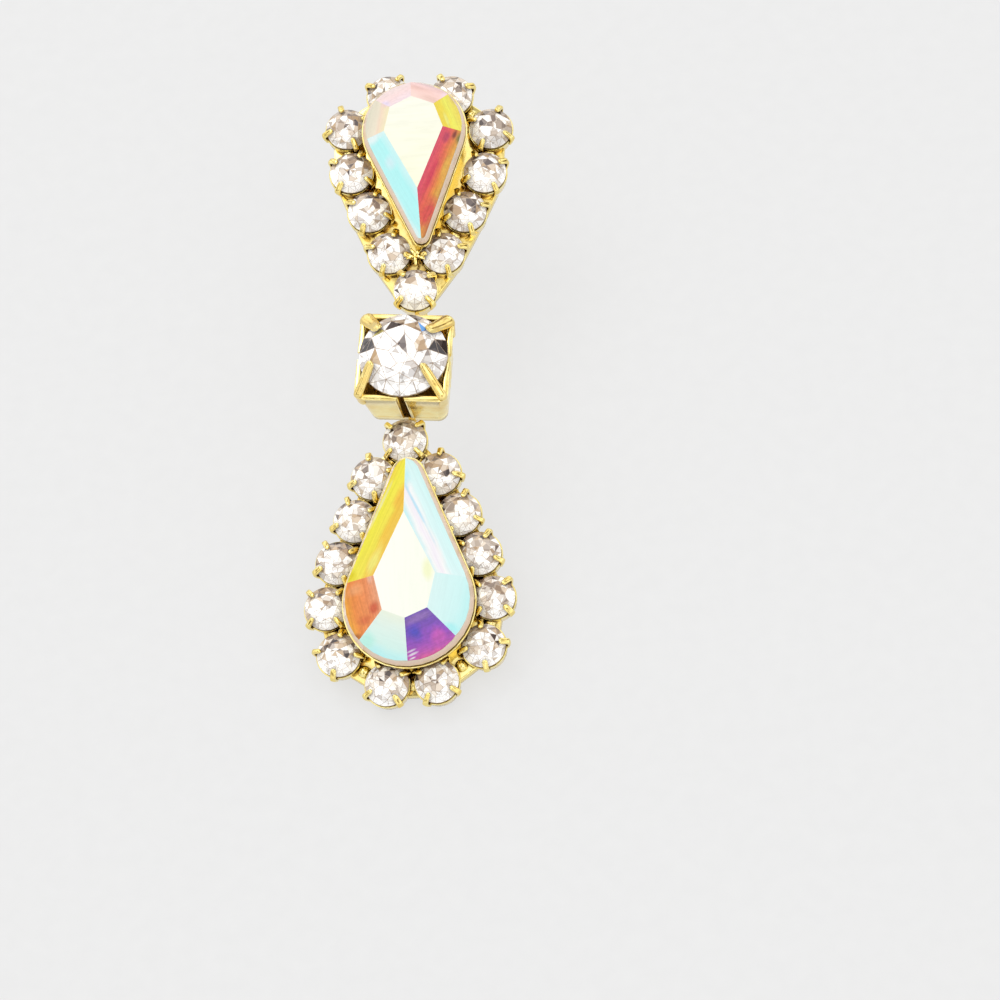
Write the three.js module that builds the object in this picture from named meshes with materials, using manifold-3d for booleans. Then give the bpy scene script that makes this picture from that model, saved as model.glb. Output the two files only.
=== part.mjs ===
// Teardrop earring: a pear stone in a ring of small round stones, a large round stone in a
// square claw box, and below it a longer pear stone in a ring of its own.
// It lies face up, propped on its ear post and on the lower edge of its drop.
// Millimetres, +Z up, +Y towards the end that is worn highest. The origin is on the surface
// that the earring lies on, under the middle of its outline.

import * as THREE from 'three';
import { mergeVertices } from 'three/addons/utils/BufferGeometryUtils.js';
import Module from 'manifold-3d';

// Small round stones, the same in both rings
const HALO_STONE = { diameter: 2.7, table: 1.55, crown: 0.5, girdle: 0.1, pavilion: 0.85 };

// Large round stone
const SQUARE_STONE = { diameter: 5.5, table: 3.26, crown: 0.95, girdle: 0.14, pavilion: 1.9 };

// Pear stones: an arc at the round end, straight sides, a small arc at the tip and a band
// that leans in between the girdle and the crown. Each is set a little askew in its ring:
// aside moves its round centre and turn, in degrees, swings its tip.
const UPPER_PEAR = { width: 6.5, length: 11, tip: 0.5, crown: 1.0, band: 0.35, pavilion: 2.1 };
const UPPER_PEAR_SET = { aside: 0.2, turn: 4.8 };
const DROP_PEAR = { width: 8.1, length: 13.1, tip: 1.0, crown: 1.15, band: 0.4, pavilion: 2.1 };
const DROP_PEAR_SET = { aside: 0.13, turn: -1.1 };
const PEAR_BAND_LEAN = 0.22;
const PEAR_CULET_SHARE = 0.14;

// Clearance between a stone and the metal that holds it
const SEAT_GAP = 0.12;

// Back plate, cups, claws and solder of the rings
const PLATE_THICKNESS = 0.75;
const CUP_RADIUS = 1.36;
const CUP_HEIGHT = 1.15;
const HALO_GIRDLE_HEIGHT = 1.3;
const CLAW = { width: 0.44, thickness: 0.26, overlap: 0.4, height: 0.3 };
const SOLDER_RADIUS = 0.34;

// Least distance between the axes of two neighbours in a ring
const HALO_SPACING = 2.82;

// Plain cups of the pear stones: their rim lies under the girdle and shows as a thin edge
const UPPER_GIRDLE_HEIGHT = 2.75;
const DROP_GIRDLE_HEIGHT = 2.65;
const PEAR_CUP_EDGE = 0.12;
const PEAR_RIM_DROP = 0.2;
const PEAR_CUP_TAPER = 0.9;

// Square claw box
const SQUARE_BASE = 4.8;
const SQUARE_TOP = 5.6;
const SQUARE_HEIGHT = 4.3;
const SQUARE_WALL = 0.34;
const SQUARE_FLOOR = 0.4;
const SQUARE_CORNER = 0.6;
const SLIT_WIDTH = 0.52;
const SLIT_SILL = 0.75;
const SQUARE_CLAW = { width: 0.52, thickness: 0.3, overlap: 0.95, height: 0.3 };

// Eyes under the parts, and the wire links that pass through them
const EYE_WIDTH = 1.3;
const EYE_DROP = 0.5;
const EYE_HOLE = 0.76;
const EYE_WEB = 0.24;
const EYE_THICKNESS = 0.4;
const EYE_INSET = 0.55;
const LINK_WIRE = 0.36;
const LINK_WIDTH = 1.36;
const LOWER_LINK_SPAN = 1.4;
const UPPER_LINK_SPAN = 3.28;

// Ear post and its round foot
const POST_DIAMETER = 0.8;
const POST_LENGTH = 10.4;
const POST_TIP = 0.5;
const POST_FOOT_DIAMETER = 3.2;
const POST_FOOT_THICKNESS = 0.4;

// How the parts of the chain lie, in degrees: pitch lifts the upper end, roll lowers the
// right side and turn swings the upper end to the left
const UPPER_LIE = { pitch: -2, roll: 5, turn: -3.2 };
const SQUARE_LIE = { pitch: -7, roll: 1.5, turn: -5.9 };
const DROP_LIE = { pitch: 0, roll: 0, turn: -0.6 };

// Places of the ring stones from the pear's round centre, before it is set askew: across in
// shares of its half width, along towards its tip in shares of its length. The back plate
// reaches past each stone's axis by a share of its cup's radius.
const UPPER_RING = [
  { across: 0.614, along: -0.263, plate: 0.35 },
  { across: 1.398, along: -0.057, plate: 0.65 },
  { across: 1.297, along: 0.215, plate: 0.85 },
  { across: 0.927, along: 0.456, plate: 0.9 },
  { across: 0.519, along: 0.707, plate: 0.9 },
  { across: 0, along: 0.932, plate: 0.9 },
];
const DROP_RING = [
  { across: 0, along: 0.804, plate: 0.5 },
  { across: 0.507, along: 0.63, plate: 0.45 },
  { across: 0.794, along: 0.427, plate: 0.45 },
  { across: 1.082, along: 0.23, plate: 0.45 },
  { across: 1.269, along: 0.015, plate: 0.45 },
  { across: 1.098, along: -0.211, plate: 0.5 },
  { across: 0.377, along: -0.365, plate: 0.5 },
];

// Corners of the pears' tables, in the same shares, from the tip round the right side
const UPPER_TABLE = [
  { across: 0, along: 0.41 },
  { across: 0.57, along: 0.045 },
  { across: 0.425, along: -0.1 },
  { across: 0, along: -0.157 },
];
const DROP_TABLE = [
  { across: 0, along: 0.4 },
  { across: 0.465, along: 0.1 },
  { across: 0.34, along: -0.064 },
  { across: 0, along: -0.108 },
];

// Corners cut into a round stone's outline, and steps of the curved outlines
const FACETS = 8;
const CUP_SIDES = 16;
const ROUND_STEPS = 20;
const TIP_STEPS = 4;
const LINK_STEPS = 18;
const LINK_SIDES = 6;
const OUTLINE_STEPS = 20;
const WELD_DISTANCE = 1e-4;

const GOLD = { color: 0xd9b25a, roughness: 0.25, metalness: 1 };
const CLEAR_STONE = { color: 0xf2efec, roughness: 0.05, metalness: 0 };
const RAINBOW_STONE = { color: 0xf6f4dc, roughness: 0.05, metalness: 0 };

const wasm = await Module();
wasm.setup();

// Six times the signed volume under one triangle
function volumeUnder(a, b, c) {
  return a.dot(new THREE.Vector3().crossVectors(b, c));
}

// A closed geometry as a solid, with its faces turned outwards
function solidOf(geometry) {
  const bare = geometry.clone();
  bare.deleteAttribute('normal');
  bare.deleteAttribute('uv');
  const welded = mergeVertices(bare, WELD_DISTANCE);
  const points = welded.getAttribute('position');
  const corner = (index) => new THREE.Vector3().fromBufferAttribute(points, index);
  const triangles = [];
  let volume = 0;
  for (let i = 0; i < welded.index.count; i += 3) {
    const [a, b, c] = [0, 1, 2].map((step) => welded.index.getX(i + step));
    if (a !== b && b !== c && c !== a) {
      triangles.push([a, b, c]);
      volume += volumeUnder(corner(a), corner(b), corner(c));
    }
  }
  const outward = volume < 0 ? triangles.map(([a, b, c]) => [a, c, b]) : triangles;
  return new wasm.Manifold(new wasm.Mesh({
    numProp: 3,
    vertProperties: new Float32Array(points.array),
    triVerts: new Uint32Array(outward.flat()),
  }));
}

// A solid's surface as a flat-shaded geometry
function geometryOf(solid) {
  const mesh = solid.getMesh();
  const indexed = new THREE.BufferGeometry();
  indexed.setAttribute('position', new THREE.BufferAttribute(mesh.vertProperties, mesh.numProp));
  indexed.setIndex(new THREE.BufferAttribute(mesh.triVerts, 1));
  const faceted = indexed.toNonIndexed();
  faceted.computeVertexNormals();
  return faceted;
}

function joined(solids) {
  return solids.reduce((whole, solid) => whole.add(solid));
}

// A solid between outlines of equal point counts, listed from the lowest to the highest
function loft(rings) {
  const count = rings[0].length;
  const points = rings.flat();
  const index = [];
  for (let level = 0; level + 1 < rings.length; level += 1) {
    for (let i = 0; i < count; i += 1) {
      const low = level * count + i;
      const lowNext = level * count + ((i + 1) % count);
      index.push(low, lowNext, lowNext + count, low, lowNext + count, low + count);
    }
  }
  const top = (rings.length - 1) * count;
  for (let i = 1; i + 1 < count; i += 1) {
    index.push(0, i + 1, i, top, top + i, top + i + 1);
  }
  const geometry = new THREE.BufferGeometry();
  geometry.setFromPoints(points);
  geometry.setIndex(index);
  return solidOf(geometry);
}

// A block from low to high corner
function block(low, high) {
  const size = new THREE.Vector3().subVectors(high, low);
  const geometry = new THREE.BoxGeometry(size.x, size.y, size.z);
  geometry.translate((low.x + high.x) / 2, (low.y + high.y) / 2, (low.z + high.z) / 2);
  return solidOf(geometry);
}

// A round stone: octagon table, eight main and eight corner facets, girdle and pavilion.
// The lower edge of its girdle is at height zero, and grow swells every face outwards.
function roundStone(cut, grow = 0) {
  const radius = cut.diameter / 2 + grow;
  const tableRadius = cut.table / 2 + grow / 2;
  const top = cut.girdle + cut.crown + grow;
  const at = (distance, turns, z) => {
    const angle = turns * 2 * Math.PI;
    return new THREE.Vector3(distance * Math.cos(angle), distance * Math.sin(angle), z);
  };
  const table = [];
  const girdleTop = [];
  const girdleLow = [];
  for (let i = 0; i < FACETS; i += 1) {
    table.push(at(tableRadius, i / FACETS, top));
    for (const share of [0.25, 0.75]) {
      girdleTop.push(at(radius, (i + share) / FACETS, cut.girdle + grow));
      girdleLow.push(at(radius, (i + share) / FACETS, -grow));
    }
  }
  const culet = new THREE.Vector3(0, 0, -cut.pavilion - grow);
  const points = [...table, ...girdleTop, ...girdleLow, culet];
  const upper = FACETS;
  const lower = upper + girdleTop.length;
  const bottom = lower + girdleLow.length;
  const index = [];
  for (let i = 0; i < FACETS; i += 1) {
    const next = (i + 1) % FACETS;
    const [before, after] = [2 * i, 2 * i + 1];
    const corner = (2 * i + 2) % (2 * FACETS);
    index.push(i, upper + before, upper + after, i, upper + after, next);
    index.push(next, upper + after, upper + corner);
    if (i > 0 && next > 0) index.push(0, i, next);
    for (const [from, to] of [[before, after], [after, corner]]) {
      index.push(upper + from, lower + from, lower + to, upper + from, lower + to, upper + to);
      index.push(bottom, lower + to, lower + from);
    }
  }
  const geometry = new THREE.BufferGeometry();
  geometry.setFromPoints(points);
  geometry.setIndex(index);
  return solidOf(geometry);
}

// The outline of a pear set in by a distance, at a height, with the tip towards +Y. The
// sides keep their slope, so the distance is the same all round.
function pearRing(pear, inset, z) {
  const half = pear.width / 2;
  const slope = Math.asin((half - pear.tip) / (pear.length - half - pear.tip));
  const round = half - inset;
  const tip = Math.min(round, Math.max(pear.tip - inset, pear.tip / 2));
  const tipCentre = (round - tip) / Math.sin(slope);
  const ring = [];
  const arc = (centreY, radius, from, to, steps) => {
    for (let i = 0; i <= steps; i += 1) {
      const angle = from + ((to - from) * i) / steps;
      ring.push(new THREE.Vector3(radius * Math.cos(angle), centreY + radius * Math.sin(angle), z));
    }
  };
  arc(tipCentre, tip, slope, Math.PI - slope, TIP_STEPS);
  arc(0, round, Math.PI - slope, 2 * Math.PI + slope, ROUND_STEPS);
  return ring;
}

// The table's corners all the way round, at the crown's height
function tableCorners(pear, table) {
  const height = pear.band + pear.crown;
  const place = (entry, side) => new THREE.Vector3(
    (side * entry.across * pear.width) / 2, entry.along * pear.length, height);
  const right = table.map((entry) => place(entry, 1));
  const left = table.filter((entry) => entry.across > 0).reverse().map((entry) => place(entry, -1));
  return [...right, ...left];
}

// A pear stone: each facet of the crown is a plane from an edge of the table down to the
// point of the band that lies furthest out. The lower edge of its girdle is at height zero.
function pearStone(pear, table) {
  const top = pear.band + pear.crown;
  const culetInset = (pear.width / 2) * (1 - PEAR_CULET_SHARE);
  let stone = loft([
    pearRing(pear, culetInset, -pear.pavilion),
    pearRing(pear, 0, 0),
    pearRing(pear, PEAR_BAND_LEAN, pear.band),
    pearRing(pear, PEAR_BAND_LEAN, top),
  ]);
  const corners = tableCorners(pear, table);
  const rim = pearRing(pear, PEAR_BAND_LEAN, pear.band);
  const reach = pear.length * 2;
  corners.forEach((corner, i) => {
    const next = corners[(i + 1) % corners.length];
    const along = new THREE.Vector3().subVectors(next, corner).normalize();
    const out = new THREE.Vector3(-along.y, along.x, 0);
    const edgeDistance = out.dot(corner);
    const rimDistance = Math.max(...rim.map((point) => out.dot(point)));
    const down = new THREE.Vector3(0, 0, -pear.crown).addScaledVector(out, rimDistance - edgeDistance);
    const normal = new THREE.Vector3().crossVectors(along, down).normalize();
    const frame = new THREE.Matrix4().makeBasis(along, new THREE.Vector3().crossVectors(normal, along), normal);
    const waste = new THREE.BoxGeometry(reach, reach, reach);
    waste.translate(0, 0, reach / 2);
    waste.applyMatrix4(frame.setPosition(corner));
    stone = stone.subtract(solidOf(waste));
  });
  return stone;
}

// The room that a pear stone needs in its cup, open above
function pearSeat(pear) {
  const culetInset = (pear.width / 2) * (1 - PEAR_CULET_SHARE);
  return loft([
    pearRing(pear, culetInset - SEAT_GAP, -pear.pavilion - SEAT_GAP),
    pearRing(pear, -SEAT_GAP, -SEAT_GAP),
    pearRing(pear, -SEAT_GAP, pear.band + pear.crown),
  ]);
}

// The outside of a pear's cup, from inside the back plate up to its rim
function pearCup(pear, girdleHeight) {
  const outside = -PEAR_CUP_EDGE;
  const foot = PLATE_THICKNESS / 2;
  const slope = ((pear.width / 2) * (1 - PEAR_CULET_SHARE)) / pear.pavilion;
  const rim = girdleHeight - PEAR_RIM_DROP;
  return loft([
    pearRing(pear, outside + slope * (rim - foot) * PEAR_CUP_TAPER, foot),
    pearRing(pear, outside, rim - PEAR_RIM_DROP),
    pearRing(pear, outside, rim),
  ]);
}

// Takes a pear, its cup or its seat from the pear's own frame to where it is set in its ring
function setAskew(solid, set) {
  return solid.rotate([0, 0, set.turn]).translate([set.aside, 0, 0]);
}

// The rows of a ring all the way round, clockwise from the first one, each with its centre
function ringCentres(pear, ring) {
  const place = (entry, side) => ({
    plate: entry.plate,
    centre: new THREE.Vector2((side * entry.across * pear.width) / 2, entry.along * pear.length),
  });
  const right = ring.map((entry) => place(entry, 1));
  const left = ring.filter((entry) => entry.across > 0).reverse().map((entry) => place(entry, -1));
  return [...right, ...left];
}

// How much wider than the pear asks a ring is, so that its stones have room beside each other
function ringSpread(centres) {
  const steps = centres.map(({ centre }, i) => centre.distanceTo(centres[(i + 1) % centres.length].centre));
  return Math.max(1, HALO_SPACING / Math.min(...steps));
}

// Places of a ring's stones, each with the direction of the ring there
function ringPlaces(pear, ring) {
  const rows = ringCentres(pear, ring);
  const spread = ringSpread(rows);
  const centres = rows.map(({ centre }) => centre.multiplyScalar(spread));
  return centres.map((centre, i) => {
    const before = centres[(i + centres.length - 1) % centres.length];
    const after = centres[(i + 1) % centres.length];
    return { centre, after, chain: after.clone().sub(before).angle(), reach: rows[i].plate * CUP_RADIUS };
  });
}

// The tightest outline round a set of flat points, counter-clockwise
function outlineAround(points) {
  const sorted = [...points].sort((a, b) => a.x - b.x || a.y - b.y);
  const turn = (a, b, c) => (b.x - a.x) * (c.y - a.y) - (b.y - a.y) * (c.x - a.x);
  const chain = (list) => {
    const kept = [];
    for (const point of list) {
      while (kept.length > 1 && turn(kept.at(-2), kept.at(-1), point) <= WELD_DISTANCE) kept.pop();
      kept.push(point);
    }
    return kept.slice(0, -1);
  };
  return [...chain(sorted), ...chain([...sorted].reverse())];
}

// The back plate: one outline drawn round all the cups, under their outer halves
function backPlate(places) {
  const rims = places.flatMap(({ centre, reach }) => {
    const rim = [];
    for (let i = 0; i < OUTLINE_STEPS; i += 1) {
      const angle = (i / OUTLINE_STEPS) * 2 * Math.PI;
      rim.push(new THREE.Vector2(Math.cos(angle), Math.sin(angle)).multiplyScalar(reach).add(centre));
    }
    return rim;
  });
  const shape = new THREE.Shape(outlineAround(rims));
  return solidOf(new THREE.ExtrudeGeometry(shape, { depth: PLATE_THICKNESS, bevelEnabled: false }));
}

// A claw in its own upright plane: it rises beside the girdle and leans over the crown.
// Sizes are from the stone's axis and from the lower edge of its girdle.
function claw(cut, size, footRadius, footDrop, angle) {
  const radius = cut.diameter / 2;
  const inner = radius + SEAT_GAP;
  const slope = cut.crown / (radius - cut.table / 2);
  const tipRadius = radius - size.overlap;
  const tipHeight = cut.girdle + size.overlap * slope + size.height;
  const shape = new THREE.Shape([
    new THREE.Vector2(footRadius - size.thickness, -footDrop),
    new THREE.Vector2(footRadius, -footDrop),
    new THREE.Vector2(inner + size.thickness, cut.girdle),
    new THREE.Vector2(inner, cut.girdle + size.thickness + SEAT_GAP),
    new THREE.Vector2(tipRadius + size.thickness / 2, tipHeight),
    new THREE.Vector2(tipRadius, tipHeight - size.thickness / 2),
    new THREE.Vector2(tipRadius, cut.girdle),
  ]);
  const geometry = new THREE.ExtrudeGeometry(shape, { depth: size.width, bevelEnabled: false });
  geometry.translate(0, 0, -size.width / 2);
  geometry.rotateX(Math.PI / 2);
  geometry.rotateZ(angle);
  return solidOf(geometry);
}

// One cup with its four claws, before its seat is cut
function haloCup(chain) {
  const cup = new THREE.CylinderGeometry(CUP_RADIUS, CUP_RADIUS, CUP_HEIGHT, CUP_SIDES);
  cup.rotateX(Math.PI / 2);
  cup.translate(0, 0, CUP_HEIGHT / 2);
  const claws = [1, 3, 5, 7].map((eighth) => claw(
    HALO_STONE, CLAW, CUP_RADIUS, HALO_GIRDLE_HEIGHT - PLATE_THICKNESS, chain + (eighth * Math.PI) / 4)
    .translate([0, 0, HALO_GIRDLE_HEIGHT]));
  return joined([solidOf(cup), ...claws]);
}

// An eye that stands down from the back of a part, with its hole along Y
function eye() {
  const half = EYE_WIDTH / 2;
  const depth = EYE_DROP + EYE_HOLE / 2 + EYE_WEB;
  const shape = new THREE.Shape([
    new THREE.Vector2(-half, PLATE_THICKNESS / 3),
    new THREE.Vector2(-half, -EYE_DROP),
    new THREE.Vector2(-half / 2, -depth),
    new THREE.Vector2(half / 2, -depth),
    new THREE.Vector2(half, -EYE_DROP),
    new THREE.Vector2(half, PLATE_THICKNESS / 3),
  ]);
  const hole = new THREE.Path();
  hole.absarc(0, -EYE_DROP, EYE_HOLE / 2, 0, 2 * Math.PI, true);
  shape.holes.push(hole);
  const geometry = new THREE.ExtrudeGeometry(shape, {
    depth: EYE_THICKNESS, bevelEnabled: false, curveSegments: FACETS / 2,
  });
  geometry.translate(0, 0, -EYE_THICKNESS / 2);
  geometry.rotateX(Math.PI / 2);
  return solidOf(geometry);
}

// A whole soldered setting: plate, cups, solder, pear cup and eye, with the seats cut out
function ringSetting(pear, set, ring, girdleHeight, eyePlace) {
  const places = ringPlaces(pear, ring);
  const parts = [backPlate(places), setAskew(pearCup(pear, girdleHeight), set)];
  for (const { centre, after, chain } of places) {
    parts.push(haloCup(chain).translate([centre.x, centre.y, 0]));
    const middle = centre.clone().lerp(after, 0.5);
    parts.push(solidOf(new THREE.SphereGeometry(SOLDER_RADIUS, FACETS, FACETS / 2))
      .translate([middle.x, middle.y, PLATE_THICKNESS]));
  }
  parts.push(eye().translate([0, eyePlace, 0]));
  const seat = roundStone(HALO_STONE, SEAT_GAP).translate([0, 0, HALO_GIRDLE_HEIGHT]);
  const seats = places.map(({ centre, chain }) => seat
    .rotate([0, 0, THREE.MathUtils.radToDeg(chain)]).translate([centre.x, centre.y, 0]));
  const pearRoom = setAskew(pearSeat(pear), set).translate([0, 0, girdleHeight]);
  return joined(parts).subtract(joined([...seats, pearRoom]));
}

// A square outline with round corners
function squareRing(half, corner, z) {
  const ring = [];
  for (const [quarter, x, y] of [[0, 1, 1], [1, -1, 1], [2, -1, -1], [3, 1, -1]]) {
    for (let i = 0; i <= TIP_STEPS; i += 1) {
      const angle = ((quarter + i / TIP_STEPS) * Math.PI) / 2;
      ring.push(new THREE.Vector3(
        x * (half - corner) + corner * Math.cos(angle), y * (half - corner) + corner * Math.sin(angle), z));
    }
  }
  return ring;
}

// The square box: leaning walls with a slit in each, a floor, four claws and two eyes
function squareSetting() {
  const lean = (SQUARE_TOP - SQUARE_BASE) / 2 / SQUARE_HEIGHT;
  const outerHalf = (z) => SQUARE_BASE / 2 + lean * z;
  const innerHalf = (z) => outerHalf(z) - SQUARE_WALL;
  const innerCorner = SQUARE_CORNER - SQUARE_WALL / 2;
  const above = SQUARE_HEIGHT + SQUARE_STONE.crown;
  const shell = loft([
    squareRing(outerHalf(0), SQUARE_CORNER, 0),
    squareRing(outerHalf(SQUARE_HEIGHT), SQUARE_CORNER, SQUARE_HEIGHT),
  ]).subtract(loft([
    squareRing(innerHalf(SQUARE_FLOOR), innerCorner, SQUARE_FLOOR),
    squareRing(innerHalf(above), innerCorner, above),
  ]));
  const reach = SQUARE_TOP;
  const slit = (halfX, halfY) => block(
    new THREE.Vector3(-halfX, -halfY, SLIT_SILL), new THREE.Vector3(halfX, halfY, above));
  const girdle = SQUARE_HEIGHT + SEAT_GAP;
  const corner = outerHalf(SQUARE_HEIGHT) * Math.SQRT2 - SQUARE_CORNER * (Math.SQRT2 - 1);
  const claws = [1, 3, 5, 7].map((eighth) => claw(
    SQUARE_STONE, SQUARE_CLAW, corner, SQUARE_HEIGHT / 4, (eighth * Math.PI) / 4).translate([0, 0, girdle]));
  const eyePlace = SQUARE_BASE / 2 - EYE_INSET;
  const eyes = [1, -1].map((side) => eye().translate([0, side * eyePlace, 0]));
  const walls = shell.subtract(joined([slit(SLIT_WIDTH / 2, reach), slit(reach, SLIT_WIDTH / 2)]));
  const room = roundStone(SQUARE_STONE, SEAT_GAP).translate([0, 0, girdle]);
  return joined([walls, ...claws, ...eyes]).subtract(room);
}

// A closed wire link: two half rings and the straight runs between them, along Y
function wireLink(span) {
  const ringRadius = (LINK_WIDTH - LINK_WIRE) / 2;
  const geometry = new THREE.TorusGeometry(ringRadius, LINK_WIRE / 2, LINK_SIDES, LINK_STEPS);
  geometry.rotateZ(Math.PI / 2 + Math.PI / LINK_STEPS);
  const points = geometry.getAttribute('position');
  for (let i = 0; i < points.count; i += 1) {
    points.setX(i, points.getX(i) + (Math.sign(points.getX(i)) * span) / 2);
  }
  geometry.rotateX(Math.PI / 2);
  geometry.rotateZ(Math.PI / 2);
  return solidOf(geometry);
}

// The ear post with its round foot: the foot's face is at height zero and the post runs down
function earPost() {
  const tipRadius = POST_DIAMETER / 4;
  const profile = [
    [0, 0],
    [POST_FOOT_DIAMETER / 2, 0],
    [POST_FOOT_DIAMETER / 2, -POST_FOOT_THICKNESS],
    [POST_DIAMETER / 2, -POST_FOOT_THICKNESS],
    [POST_DIAMETER / 2, POST_TIP - POST_LENGTH],
    [tipRadius, -POST_LENGTH],
    [0, -POST_LENGTH],
  ].map(([radius, height]) => new THREE.Vector2(radius, height));
  const geometry = new THREE.LatheGeometry(profile, CUP_SIDES);
  geometry.rotateX(Math.PI / 2);
  return solidOf(geometry);
}

function named(name, solid, look) {
  const mesh = new THREE.Mesh(geometryOf(solid), new THREE.MeshStandardMaterial(look));
  mesh.name = name;
  return mesh;
}

function number(index) {
  return String(index + 1).padStart(2, '0');
}

// A ring setting with its pear and its small stones, in the pear's own frame
function cluster(prefix, pear, set, table, ring, girdleHeight, eyePlace) {
  const group = new THREE.Group();
  group.add(named(`${prefix}_setting`, ringSetting(pear, set, ring, girdleHeight, eyePlace), GOLD));
  const pearMesh = named(`${prefix}_pear_stone`, setAskew(pearStone(pear, table), set), RAINBOW_STONE);
  pearMesh.position.z = girdleHeight;
  group.add(pearMesh);
  ringPlaces(pear, ring).forEach(({ centre, chain }, i) => {
    const stone = named(`${prefix}_halo_stone_${number(i)}`, roundStone(HALO_STONE), CLEAR_STONE);
    stone.position.set(centre.x, centre.y, HALO_GIRDLE_HEIGHT);
    stone.rotation.z = chain;
    group.add(stone);
  });
  return group;
}

// Where a cluster's eye stands: just inside the outer edge of its last cup at the tip
function eyeAlong(pear, ring) {
  const furthest = Math.max(...ringPlaces(pear, ring).map(({ centre }) => centre.y));
  return furthest + CUP_RADIUS - EYE_INSET;
}

function turned(lie) {
  const angles = [lie.pitch, lie.roll, lie.turn].map(THREE.MathUtils.degToRad);
  return new THREE.Euler(angles[0], angles[1], angles[2], 'ZXY');
}

// Sets a part so that its eye lies one link's span beyond the eye that it hangs from
function hangOn(part, ownEye, otherEye, lie) {
  part.rotation.copy(turned(lie));
  part.position.copy(otherEye).sub(ownEye.clone().applyEuler(part.rotation));
}

function eyeCentre(along) {
  return new THREE.Vector3(0, along, -EYE_DROP);
}

const dropEye = eyeAlong(DROP_PEAR, DROP_RING);
const upperEye = eyeAlong(UPPER_PEAR, UPPER_RING);
const squareEye = SQUARE_BASE / 2 - EYE_INSET;

const drop = cluster('drop', DROP_PEAR, DROP_PEAR_SET, DROP_TABLE, DROP_RING, DROP_GIRDLE_HEIGHT, dropEye);
drop.rotation.copy(turned(DROP_LIE));

// The upper cluster is built with its tip towards +Y and turned over end for end
const upper = new THREE.Group();
const upperCluster = cluster(
  'upper', UPPER_PEAR, UPPER_PEAR_SET, UPPER_TABLE, UPPER_RING, UPPER_GIRDLE_HEIGHT, upperEye);
upperCluster.rotation.z = Math.PI;
upper.add(upperCluster);
const post = named('ear_post', earPost(), GOLD);
post.position.z = -SEAT_GAP;
upper.add(post);

const square = new THREE.Group();
square.add(named('square_setting', squareSetting(), GOLD));
const squareStone = named('square_stone', roundStone(SQUARE_STONE), CLEAR_STONE);
squareStone.position.z = SQUARE_HEIGHT + SEAT_GAP;
square.add(squareStone);

// A link lies between two eyes: its upper run passes through both
function placedLink(name, lowerEye, upperEyePoint) {
  const along = new THREE.Vector3().subVectors(upperEyePoint, lowerEye);
  const link = named(name, wireLink(along.length() + EYE_THICKNESS), GOLD);
  link.position.copy(lowerEye).addScaledVector(along, 0.5);
  link.rotation.set(Math.atan2(along.z, Math.hypot(along.x, along.y)), 0, Math.atan2(-along.x, along.y), 'ZXY');
  link.translateZ(-(LINK_WIDTH - LINK_WIRE) / 2);
  return link;
}

const earring = new THREE.Group();
const dropEyePoint = eyeCentre(dropEye).applyEuler(drop.rotation);
const lowerStep = new THREE.Vector3(0, LOWER_LINK_SPAN, 0).applyEuler(turned(SQUARE_LIE));
const squareLow = lowerStep.add(dropEyePoint);
hangOn(square, eyeCentre(-squareEye), squareLow, SQUARE_LIE);
const squareHigh = eyeCentre(squareEye).applyEuler(square.rotation).add(square.position);
const upperStep = new THREE.Vector3(0, UPPER_LINK_SPAN, 0).applyEuler(turned(UPPER_LIE));
const upperLow = upperStep.add(squareHigh);
hangOn(upper, eyeCentre(-upperEye), upperLow, UPPER_LIE);
earring.add(drop, square, upper);
earring.add(placedLink('lower_link', dropEyePoint, squareLow), placedLink('upper_link', squareHigh, upperLow));

// Lowest corner of a mesh, wherever its groups have taken it
function lowestPoint(mesh) {
  mesh.updateWorldMatrix(true, false);
  const points = mesh.geometry.getAttribute('position');
  const lowest = new THREE.Vector3(0, 0, Infinity);
  const point = new THREE.Vector3();
  for (let i = 0; i < points.count; i += 1) {
    point.fromBufferAttribute(points, i).applyMatrix4(mesh.matrixWorld);
    if (point.z < lowest.z) lowest.copy(point);
  }
  return lowest;
}

// The whole earring tips until its post and the lower edge of its drop are level
const resting = new THREE.Group();
resting.add(earring);
const dropSetting = drop.children[0];
const SETTLING_STEPS = 6;
for (let i = 0; i < SETTLING_STEPS; i += 1) {
  resting.updateMatrixWorld(true);
  const propped = lowestPoint(post);
  const lying = lowestPoint(dropSetting);
  earring.rotation.x -= Math.atan2(propped.z - lying.z, propped.y - lying.y);
}
resting.updateMatrixWorld(true);
const outline = new THREE.Box3().setFromObject(resting, true);
const middle = outline.getCenter(new THREE.Vector3());
earring.position.set(-middle.x, -middle.y, -outline.min.z);

export default resting;
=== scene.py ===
import math
import random

import bmesh
import bpy
from mathutils import Matrix, Vector


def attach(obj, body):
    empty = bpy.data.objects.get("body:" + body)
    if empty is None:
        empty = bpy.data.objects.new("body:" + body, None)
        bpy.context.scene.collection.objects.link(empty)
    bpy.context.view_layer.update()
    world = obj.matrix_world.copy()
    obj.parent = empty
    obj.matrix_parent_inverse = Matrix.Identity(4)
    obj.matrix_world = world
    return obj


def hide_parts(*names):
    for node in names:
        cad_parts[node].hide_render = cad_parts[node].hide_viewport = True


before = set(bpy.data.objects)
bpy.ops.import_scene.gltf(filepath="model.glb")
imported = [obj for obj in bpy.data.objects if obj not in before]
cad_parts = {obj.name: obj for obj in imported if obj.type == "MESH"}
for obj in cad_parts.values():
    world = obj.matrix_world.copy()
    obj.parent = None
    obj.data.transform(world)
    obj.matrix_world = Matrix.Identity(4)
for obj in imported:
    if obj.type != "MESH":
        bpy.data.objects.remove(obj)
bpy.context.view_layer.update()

# Metres in a millimetre. Shapes are worked out in millimetres and scaled when they become meshes.
MM = 0.001

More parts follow.
